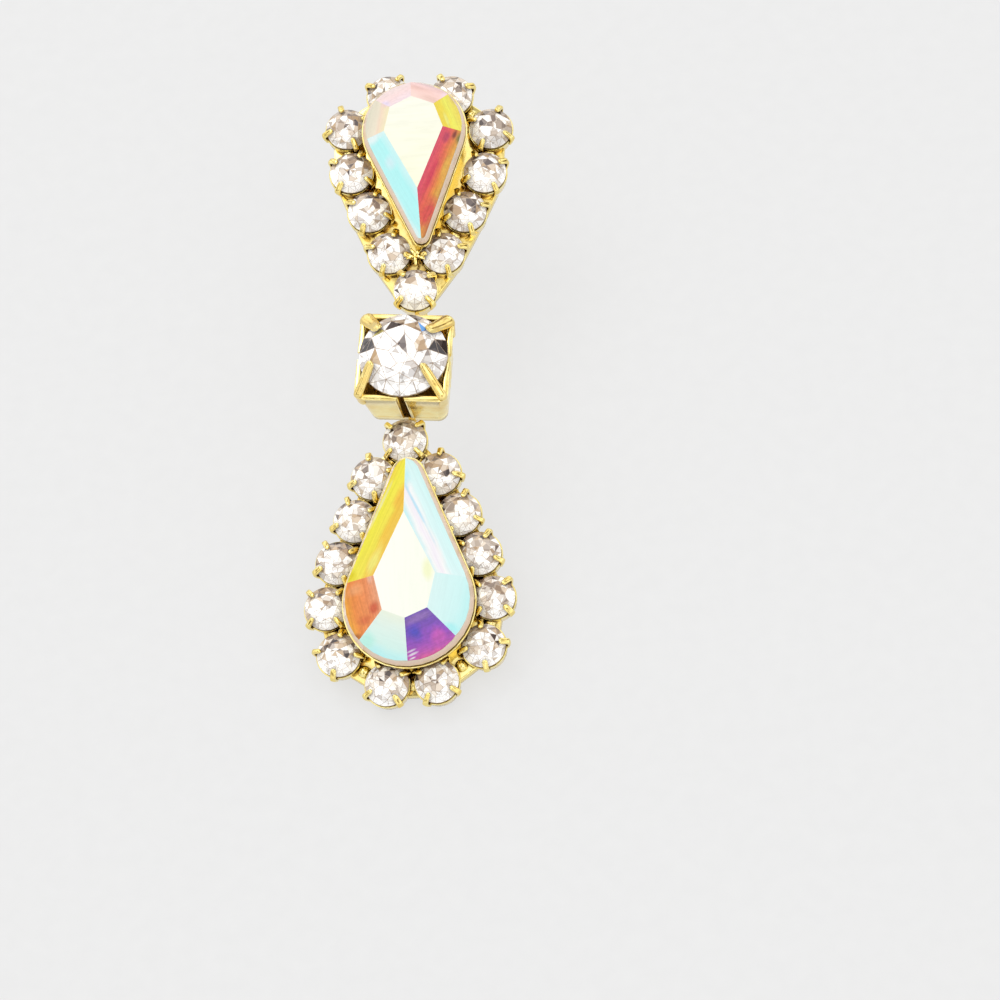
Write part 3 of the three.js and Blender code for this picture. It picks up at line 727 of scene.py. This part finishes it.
def pear_stone(name, place, facets, band, table_look):
    """The pear stone's own solid with slightly worn facet edges. Each facet of the crown takes
    the material whose direction, in degrees, is nearest to its own."""
    shape = bmesh.new()
    shape.from_mesh(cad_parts[name].data)
    bmesh.ops.remove_doubles(shape, verts=shape.verts, dist=0.001 * MM)
    bmesh.ops.dissolve_limit(
        shape, angle_limit=math.radians(1.5), verts=shape.verts, edges=shape.edges)
    mesh = bpy.data.meshes.new(f"{name}_cut")
    shape.to_mesh(mesh)
    shape.free()
    directions = [math.radians(degrees) for degrees, _ in facets]
    for material in (table_look, band, *(look for _, look in facets)):
        mesh.materials.append(material)
    uv = mesh.uv_layers.new(name="facet")
    inverse = place.inverted()
    turn = inverse.to_3x3().normalized()
    for polygon in mesh.polygons:
        normal = (turn @ polygon.normal).normalized()
        down = Vector((normal.x, normal.y, 0)).normalized()
        if normal.z > 0.995:
            polygon.material_index = 0
            down = Vector((1, 0, 0))
        elif normal.z > 0.6:
            nearest = max(range(len(facets)), key=lambda k: down.dot(polar(1, directions[k])))
            polygon.material_index = 2 + nearest
        else:
            polygon.material_index = 1
        side = Vector((-down.y, down.x, 0))
        if side.y < 0:
            side = -side
        points = [inverse @ mesh.vertices[i].co for i in polygon.vertices]
        for axis, direction in enumerate((down, side)):
            spots = [point.dot(direction) for point in points]
            span = max(max(spots) - min(spots), 1e-6)
            for corner, spot in zip(polygon.loop_indices, spots):
                uv.data[corner].uv[axis] = (spot - min(spots)) / span
    piece = placed_piece(bpy.data.objects.new(f"{name}_cut", mesh), name)
    bevel = piece.modifiers.new("worn edges", "BEVEL")
    bevel.width = 0.035 * MM
    bevel.segments = 2
    bevel.limit_method = "ANGLE"
    bevel.angle_limit = math.radians(12)


def pear_outline(half, length, tip, inset, height, round_steps=48, tip_steps=12):
    """The pear's outline set in by a distance, counter-clockwise from the tip's right side."""
    slope = math.asin((half - tip) / (length - half - tip))
    round_radius = half - inset
    tip_radius = min(round_radius, max(tip - inset, tip / 2))
    tip_centre = (round_radius - tip_radius) / math.sin(slope)
    ring = []
    for centre, radius, start, end, steps in (
            (tip_centre, tip_radius, slope, math.pi - slope, tip_steps),
            (0.0, round_radius, math.pi - slope, 2 * math.pi + slope, round_steps)):
        for i in range(steps + 1):
            ring.append(polar(radius, start + (end - start) * i / steps, height) + Vector((0, centre, 0)))
    return ring


def plate_outline(centres, reaches, inset, height, steps=180):
    """The tightest outline round circles about the centres, set in by a distance."""
    ring = []
    for i in range(steps):
        out = polar(1, 2 * math.pi * i / steps)
        centre, reach = max(zip(centres, reaches), key=lambda pair: pair[0].dot(out) + pair[1])
        ring.append(Vector((centre.x, centre.y, height)) + out * (reach - inset))
    return ring


def halo_prongs(form, size, chain, chance):
    """Four claws round a small stone, each bent over its crown by a slightly different amount."""
    radius = size["radius"]
    low = size["girdle_low"]
    for eighth in (1, 3, 5, 7):
        angle = chain + eighth * math.pi / 4 + chance.uniform(-HALO_CLAW_SWING, HALO_CLAW_SWING)
        reach = chance.uniform(*HALO_CLAW_REACH)
        path = [
            (CUP_RIM + HALO_CLAW_FOOT[0], low + HALO_CLAW_FOOT[1]),
            *((radius + out, low + rise) for out, rise in HALO_CLAW_SHOULDER),
            (radius - reach, size["top"] + HALO_CLAW_LIFT)]
        widths = (chance.uniform(*HALO_FOOT_WIDTH), chance.uniform(*HALO_TIP_WIDTH))
        form.prong(size["axis"], angle, path, widths, HALO_CLAW_THICKNESS)


def claw_star(form, centre):
    """Short claws that meet in a star, on a stem."""
    form.lathe(centre, STAR_STEM, 12)
    for i in range(STAR_CLAWS):
        angle = math.pi / 2 + i * math.tau / STAR_CLAWS
        form.prong(centre, angle, STAR_CLAW, STAR_CLAW_WIDTHS, STAR_CLAW_THICKNESS, sides=10)


def ring_setting(prefix, place, pear, girdle_height, tip_radius, reaches, star=None):
    """A soldered ring: bevelled back plate, cups with claws, solder, pear cup and eye.
    Gives the direction of the ring at each small stone."""
    chance = random.Random(SEED)
    sizes = [measured(name, place) for name in names_of(f"{prefix}_halo_stone_")]
    centres = [size["axis"] for size in sizes]
    form = Form()
    bevel = [(PLATE_EDGE, 0.0), (0.3 * PLATE_EDGE, 0.3 * PLATE_EDGE), (0.0, PLATE_EDGE)]
    section = bevel + [(inset, PLATE_THICKNESS - height) for inset, height in reversed(bevel)]
    form.loft([plate_outline(centres, reaches, inset, height) for inset, height in section])
    turns = []
    for i, size in enumerate(sizes):
        centre = centres[i]
        after = centres[(i + 1) % len(centres)]
        chain_line = after - centres[i - 1]
        turns.append(math.atan2(chain_line.y, chain_line.x))
        form.lathe(centre, CUP_PROFILE, 36)
        halo_prongs(form, size, turns[-1], chance)
        form.ball(centre.lerp(after, 0.5) + Vector((0, 0, PLATE_THICKNESS + SOLDER_LIFT)), SOLDER_RADII)
    to_ring = place.inverted() @ pear
    points = vertices_in(f"{prefix}_pear_stone", pear.inverted())
    half = max(point.x for point in points)
    length = max(point.y for point in points) + half
    rim = girdle_height - PEAR_RIM_DROP
    section = [
        (PEAR_CUP_FOOT, PLATE_THICKNESS / 2),
        *((inset, rim - depth) for inset, depth in PEAR_CUP_SECTION),
        (half / 2, rim - PEAR_CUP_DEPTH)]
    form.loft([
        [to_ring @ point for point in pear_outline(half, length, tip_radius, inset, height)]
        for inset, height in section])
    form.ring_bar(Vector((0, CUP_RIM - EYE_INSET, -EYE_DROP)), EYE_RADIUS, EYE_WIRE)
    if star:
        claw_star(form, star)
    finished(f"{prefix}_setting_metal", form, place, gold, f"{prefix}_setting")
    return turns


def box_half(height):
    """Half the box's outer width at a height."""
    return BOX_BASE / 2 + (BOX_TOP - BOX_BASE) / 2 * height / BOX_HEIGHT


def wall_corner(form, quarter):
    """One folded corner of the box between two slits. Its rim is folded a little outwards."""
    steps = 8

    def outline(half, corner, height):
        points = [Vector((half, SLIT_WIDTH / 2, height))]
        centre = Vector((half - corner, half - corner, height))
        points += [centre + polar(corner, i / steps * math.pi / 2) for i in range(steps + 1)]
        return [*points, Vector((SLIT_WIDTH / 2, half, height))]

    rows = [
        (SLIT_SILL, 0.0, 0.0), (BOX_HEIGHT * 0.6, 0.0, 0.0),
        *((BOX_HEIGHT - down, close, fold) for down, close, fold in WALL_RIM)]
    turn = Matrix.Rotation(quarter * math.pi / 2, 3, "Z")
    outer = []
    inner = []
    for height, close, fold in rows:
        half = box_half(height) + fold
        outer.append([turn @ point for point in outline(half - close, BOX_CORNER, height)])
        inner.append([turn @ point for point in outline(
            half - BOX_WALL + close, BOX_CORNER - BOX_WALL / 2, height)])
    form.loft([[*out, *reversed(into)] for out, into in zip(outer, inner)])
    slit_fold(form, turn, 1)
    slit_fold(form, turn @ Matrix.Rotation(math.pi / 2, 3, "Z"), -1)


def slit_fold(form, turn, side, steps=10):
    """The folded edge of the sheet on one side of a slit, with a narrower top."""
    rings = []
    for height, width in (
            (SLIT_SILL - 0.1, 1.0), (BOX_HEIGHT / 2, 1.0), (BOX_HEIGHT - 0.1, 1.0), (BOX_HEIGHT, 0.6)):
        along = side * (SLIT_WIDTH / 2 + SLIT_FOLD / 3)
        middle = Vector((box_half(height) - BOX_WALL / 2, along, height))
        ring = []
        for step in range(steps):
            angle = math.tau * step / steps
            out = width * (BOX_WALL / 2 + SLIT_FOLD_PROUD) * math.cos(angle)
            aside = width * SLIT_FOLD * math.sin(angle)
            ring.append(turn @ (middle + Vector((out, aside, 0))))
        rings.append(ring)
    form.loft(rings)


def square_outline(half, corner, height, steps=8):
    """A square with rounded corners, counter-clockwise."""
    ring = []
    for quarter, x, y in ((0, 1, 1), (1, -1, 1), (2, -1, -1), (3, 1, -1)):
        centre = Vector((x * (half - corner), y * (half - corner), height))
        ring += [centre + polar(corner, (quarter + i / steps) * math.pi / 2) for i in range(steps + 1)]
    return ring


def square_setting(place):
    """The square box: a tray with rounded edges, four folded corners, claws and two eyes."""
    form = Form()
    size = measured("square_stone", place)
    sill = SLIT_SILL
    inner_corner = BOX_CORNER - BOX_WALL / 2
    form.loft([
        square_outline(box_half(0) - 0.12, BOX_CORNER - 0.1, 0.0),
        square_outline(box_half(0.04) - 0.03, BOX_CORNER, 0.04),
        square_outline(box_half(0.12), BOX_CORNER, 0.12),
        square_outline(box_half(sill - 0.05), BOX_CORNER, sill - 0.05),
        square_outline(box_half(sill) - 0.05, BOX_CORNER, sill + 0.02),
        square_outline(box_half(sill) - BOX_WALL + 0.05, inner_corner, sill + 0.02),
        square_outline(box_half(sill) - BOX_WALL, inner_corner, sill - 0.05),
        square_outline(box_half(BOX_FLOOR) - BOX_WALL, inner_corner, BOX_FLOOR),
    ])
    for quarter in range(4):
        wall_corner(form, quarter)
    corner = box_half(BOX_HEIGHT) * math.sqrt(2) - BOX_CORNER * (math.sqrt(2) - 1)
    radius = size["radius"]
    low = size["girdle_low"]
    for eighth, swing, reach, widths in BOX_CLAWS:
        foot = eighth * math.pi / 4
        angle = foot + math.radians(swing)
        centre = size["axis"] + polar(corner, foot) - polar(corner, angle)
        path = [
            (corner - 0.12, low - 1.4), (corner - 0.02, low - 0.5), (corner, low - 0.1),
            (radius + 0.35, low + 0.32), (radius - 0.25, low + 0.76),
            (radius - reach, size["top"] + 0.2)]
        form.prong(
            centre, angle, path, widths, BOX_CLAW_THICKNESS, sides=24, power=0.6, curl=BOX_CLAW_CURL)
    for side in (1, -1):
        eye = Vector((0, side * (BOX_BASE / 2 - EYE_INSET), -EYE_DROP))
        form.ring_bar(eye, EYE_RADIUS, EYE_WIRE)
    finished("square_setting_metal", form, place, gold_box, "square_setting")


def kept_node(name, material, rounded):
    """A CAD node kept as it is, its flat facets smoothed or its edges rounded."""
    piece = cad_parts[name]
    piece.data.materials.clear()
    piece.data.materials.append(material)
    weld = piece.modifiers.new("weld", "WELD")
    weld.merge_threshold = WELD_DISTANCE
    for polygon in piece.data.polygons:
        polygon.use_smooth = True
    if rounded:
        curve = piece.modifiers.new("round", "SUBSURF")
        curve.levels = 2
        curve.render_levels = 2
    else:
        bevel = piece.modifiers.new("edges", "BEVEL")
        bevel.width = 0.06 * MM
        bevel.segments = 3
        bevel.limit_method = "ANGLE"
        bevel.angle_limit = math.radians(30)
        piece.data.set_sharp_from_angle(angle=math.radians(30))


def add_floor():
    """A plain pale floor that glows a little, so that shadows on it stay faint."""
    reach = 2.0
    mesh = bpy.data.meshes.new("floor")
    corners = [(-reach, -reach, 0), (reach, -reach, 0), (reach, reach, 0), (-reach, reach, 0)]
    mesh.from_pydata(corners, [], [(0, 1, 2, 3)])
    floor = bpy.data.objects.new("floor", mesh)
    bpy.context.scene.collection.objects.link(floor)
    floor.location.z = -0.02 * MM
    material, tree, shader = new_material("floor_paper")
    place = node(tree, "ShaderNodeTexCoord").outputs["Object"]
    fibre = node(tree, "ShaderNodeTexNoise", Vector=place, Scale=PAPER_FIBRES, Detail=3.0)
    paper = ramp(tree, fibre.outputs["Fac"], [(0.3, grey(0.125)), (0.7, grey(0.135))])
    tree.links.new(paper, shader.inputs["Base Color"])
    shader.inputs["Roughness"].default_value = 0.9
    shader.inputs["Specular IOR Level"].default_value = 0.1
    shader.inputs["Emission Color"].default_value = grey(1)
    shader.inputs["Emission Strength"].default_value = 0.66
    mesh.materials.append(material)


def add_light():
    """A soft sky that is a little darker towards the horizon, and two large soft lights. What
    glossy surfaces mirror is a studio of bright panels with dark gaps between them."""
    world = bpy.data.worlds.new("studio")
    world.use_nodes = True
    tree = world.node_tree
    tree.nodes.clear()
    way = node(tree, "ShaderNodeTexCoord").outputs["Generated"]
    height = node(tree, "ShaderNodeSeparateXYZ", Vector=way).outputs["Z"]
    sky = ramp(tree, height, [
        (0.0, srgb(150, 144, 136)), (0.22, srgb(190, 186, 180)), (0.5, srgb(240, 240, 240)),
        (1.0, srgb(255, 255, 255))])
    panels = node(tree, "ShaderNodeTexNoise", Vector=way, Scale=3.4, Detail=1.0)
    mirrored = ramp(tree, panels.outputs["Fac"], [
        (0.38, srgb(112, 100, 72)), (0.45, srgb(214, 210, 198)), (0.54, srgb(255, 255, 255))])
    rays = node(tree, "ShaderNodeLightPath").outputs
    sky = mixed(tree, "MIX", rays["Is Glossy Ray"], sky, mirrored)
    backdrop = grey(srgb(238, 238, 238)[0] / SKY_STRENGTH)
    sky = mixed(tree, "MIX", rays["Is Camera Ray"], sky, backdrop)
    background = node(tree, "ShaderNodeBackground", Color=sky, Strength=SKY_STRENGTH)
    output = node(tree, "ShaderNodeOutputWorld")
    tree.links.new(background.outputs["Background"], output.inputs["Surface"])
    bpy.context.scene.world = world
    for name, place, size, power in (
            ("key", Vector((-150, 120, 330)), 220, 0.3),
            ("fill", Vector((190, -160, 260)), 220, 0.12)):
        light = bpy.data.lights.new(name, "AREA")
        light.shape = "DISK"
        light.size = size * MM
        light.energy = power
        lamp = bpy.data.objects.new(name, light)
        bpy.context.scene.collection.objects.link(lamp)
        lamp.location = place * MM
        lamp.rotation_euler = place.to_track_quat("Z", "Y").to_euler()
    bpy.context.scene.view_settings.view_transform = "Standard"


add_camera()
gold = gold_material("gold_polished", srgb(255, 244, 174), srgb(250, 228, 138), 0.13)
gold_box = gold_material("gold_box", srgb(255, 242, 174), srgb(250, 224, 138), 0.17)
crystal = crystal_material("crystal")
band = facet_material("pear_band", [(0.0, (255, 238, 214)), (0.5, (255, 226, 204)), (1.0, (250, 222, 176))])

drop_ring = ring_place("drop", 1, (7, 8))
drop_pear = pear_place("drop", drop_ring, DROP_SWING)
drop_turns = ring_setting("drop", drop_ring, drop_pear, DROP_GIRDLE_HEIGHT, DROP_TIP, DROP_REACH)
upper_ring = ring_place("upper", 6, (1, 11))
upper_pear = pear_place("upper", upper_ring, UPPER_SWING)
upper_turns = ring_setting(
    "upper", upper_ring, upper_pear, UPPER_GIRDLE_HEIGHT, UPPER_TIP, UPPER_REACH, UPPER_STAR)
box = square_place()
square_setting(box)

# The shaded side of every stone is the one that lies highest in the photo's frame
for prefix, place, turns, upwards in (
        ("drop", drop_ring, drop_turns, math.pi / 2), ("upper", upper_ring, upper_turns, -math.pi / 2)):
    for name, turn in zip(names_of(f"{prefix}_halo_stone_"), turns):
        cut_stone(name, place, turn, upwards, crystal)
cut_stone("square_stone", box, 0.0, math.pi / 2, crystal, 0.25, 0.035, SQUARE_REFLECTIONS)

# Facets of the drop's stone by their direction in degrees, +X to the right and +Y to the tip. Their colours
# and patches are the coating's painted reflections.
drop_facets = (
    (26, facet_material("drop_right_long", [
        (0.0, (206, 248, 252)), (0.18, (255, 255, 255)), (0.3, (252, 246, 255)), (0.42, (255, 255, 255)),
        (0.56, (226, 255, 255)), (1.0, (216, 255, 254))], angle=12, streak=0.12, patches=[
            ((0.35, 0.9), (0.4, 0.12), (160, 238, 250)),
            ((0.4, 0.62), (0.06, 0.3), (196, 236, 255))], mottle=0.02)),
    (-16, facet_material("drop_right", [
        (0.0, (226, 255, 254)), (0.7, (214, 255, 254)), (1.0, (196, 252, 252))], streak=0.06, patches=[
            ((0.7, 0.1), (0.3, 0.14), (180, 250, 252))], mottle=0.02)),
    (-68, facet_material("drop_low_right", [
        (0.0, (112, 76, 190)), (0.3, (130, 76, 200)), (0.6, (158, 72, 204)), (0.84, (200, 82, 192)),
        (1.0, (232, 92, 160))], streak=0.3, patches=[
            ((0.36, 0.36), (0.24, 0.22), (78, 68, 204)),
            ((0.7, 0.7), (0.3, 0.16), (206, 84, 196)),
            ((0.12, 0.5), (0.12, 0.5), (150, 110, 196)),
            # Thin pale streaks near the outer edge are painted glints
            ((0.72, 0.12), (0.03, 0.12), (236, 214, 246)),
            ((0.8, 0.14), (0.03, 0.13), (240, 226, 246)),
            ((0.88, 0.1), (0.02, 0.08), (250, 240, 250)),
            ((0.3, 0.9), (0.05, 0.03), (230, 200, 240))], mottle=0.3)),
    (-112, facet_material("drop_low_left", [
        (0.0, (246, 255, 236)), (0.3, (236, 255, 246)), (0.7, (222, 255, 248)),
        (1.0, (190, 252, 255))], streak=0.05, patches=[
            ((0.8, 0.85), (0.3, 0.2), (196, 252, 240))], mottle=0.02)),
    (196, facet_material("drop_left", [
        (0.0, (255, 180, 140)), (0.3, (255, 158, 104)), (0.75, (255, 156, 84)),
        (1.0, (255, 184, 74))], streak=0.3, patches=[
            ((0.2, 0.4), (0.18, 0.14), (226, 112, 80)),
            ((0.5, 0.28), (0.3, 0.1), (238, 130, 84)),
            ((0.88, 0.06), (0.2, 0.1), (176, 104, 52)),
            ((0.6, 0.82), (0.3, 0.14), (255, 176, 120)),
            ((0.12, 0.9), (0.12, 0.1), (255, 196, 168))], mottle=0.2)),
    (154, facet_material("drop_left_long", [
        (0.0, (255, 214, 96)), (0.26, (255, 210, 84)), (0.42, (255, 240, 92)), (0.75, (255, 246, 84)),
        (1.0, (255, 232, 84))], streak=0.2, patches=[
            ((0.85, 0.05), (0.4, 0.07), (238, 222, 50)),
            ((0.2, 0.22), (0.2, 0.16), (255, 244, 130)),
            ((0.3, 0.72), (0.24, 0.14), (255, 206, 84)),
            ((0.85, 0.62), (0.06, 0.3), (255, 250, 170))], mottle=0.08)),
)
# The table's near white, with faint streaks, is a painted reflection of the light above it
drop_table = facet_material("drop_table", [
    (0.0, (255, 255, 246)), (1.0, (252, 255, 240))], streak=0.05, patches=[
        ((0.88, 0.45), (0.1, 0.12), (246, 250, 206))], mottle=0.02)
pear_stone("drop_pear_stone", drop_pear, drop_facets, band, drop_table)

# Facets of the upper stone. Its tip points down in the photo, so +X is the photo's left.
# Their colours and patches are the coating's painted reflections
upper_facets = (
    (25, facet_material("upper_left_long", [
        (0.0, (214, 255, 255)), (0.3, (184, 255, 255)), (0.8, (188, 255, 255)),
        (1.0, (228, 255, 255))], streak=0.08, patches=[
            ((0.5, 0.03), (0.6, 0.05), (236, 255, 255)),
            ((0.4, 0.3), (0.3, 0.08), (214, 250, 255)),
            ((0.4, 0.93), (0.4, 0.08), (245, 255, 255))], mottle=0.04)),
    (-17, facet_material("upper_left", [
        (0.0, (255, 244, 204)), (0.34, (255, 230, 206)), (0.5, (246, 236, 214)),
        (1.0, (232, 228, 206))], streak=0.1, patches=[
            ((0.2, 0.1), (0.3, 0.12), (250, 220, 220))], mottle=0.06)),
    (-61, facet_material("upper_top_left", [
        (0.0, (250, 226, 232)), (0.5, (255, 222, 220)), (1.0, (246, 226, 222))], streak=0.18, patches=[
            ((0.3, 0.85), (0.3, 0.16), (236, 218, 242))], mottle=0.18)),
    (-119, facet_material("upper_top_right", [
        (0.0, (255, 222, 212)), (0.5, (255, 212, 202)), (1.0, (255, 212, 212))], streak=0.12, patches=[
            ((0.7, 0.92), (0.4, 0.1), (255, 222, 234))], mottle=0.08)),
    (197, facet_material("upper_right", [
        (0.0, (255, 226, 50)), (0.3, (255, 232, 52)), (0.55, (255, 252, 86)),
        (1.0, (255, 230, 80))], streak=0.26, patches=[
            ((0.16, 0.06), (0.4, 0.16), (255, 192, 50)),
            ((0.3, 0.7), (0.1, 0.3), (255, 250, 120)),
            ((0.9, 0.1), (0.16, 0.24), (240, 214, 96))], mottle=0.12)),
    (155, facet_material("upper_right_long", [
        (0.0, (244, 84, 116)), (0.26, (250, 90, 104)), (0.48, (255, 120, 84)), (0.7, (255, 168, 70)),
        (0.86, (250, 190, 84)), (1.0, (206, 140, 70))], streak=0.34, patches=[
            ((0.3, 0.46), (0.12, 0.2), (236, 66, 96)),
            ((0.75, 0.8), (0.5, 0.24), (242, 92, 88)),
            ((0.7, 0.34), (0.14, 0.16), (255, 196, 84)),
            ((0.56, 0.05), (0.1, 0.07), (150, 62, 48)),
            ((0.84, 0.06), (0.24, 0.09), (134, 130, 66)),
            ((0.3, 0.12), (0.16, 0.07), (212, 70, 106))], mottle=0.26)),
)
# The table's near white, with faint streaks, is a painted reflection of the light above it
upper_table = facet_material("upper_table", [
    (0.0, (255, 255, 226)), (0.6, (255, 255, 234)),
        (1.0, (255, 255, 240))], angle=90, streak=0.14, mottle=0.02)
pear_stone("upper_pear_stone", upper_pear, upper_facets, band, upper_table)

kept_node("lower_link", gold, True)
kept_node("upper_link", gold, True)
kept_node("ear_post", gold, False)
add_floor()
add_light()
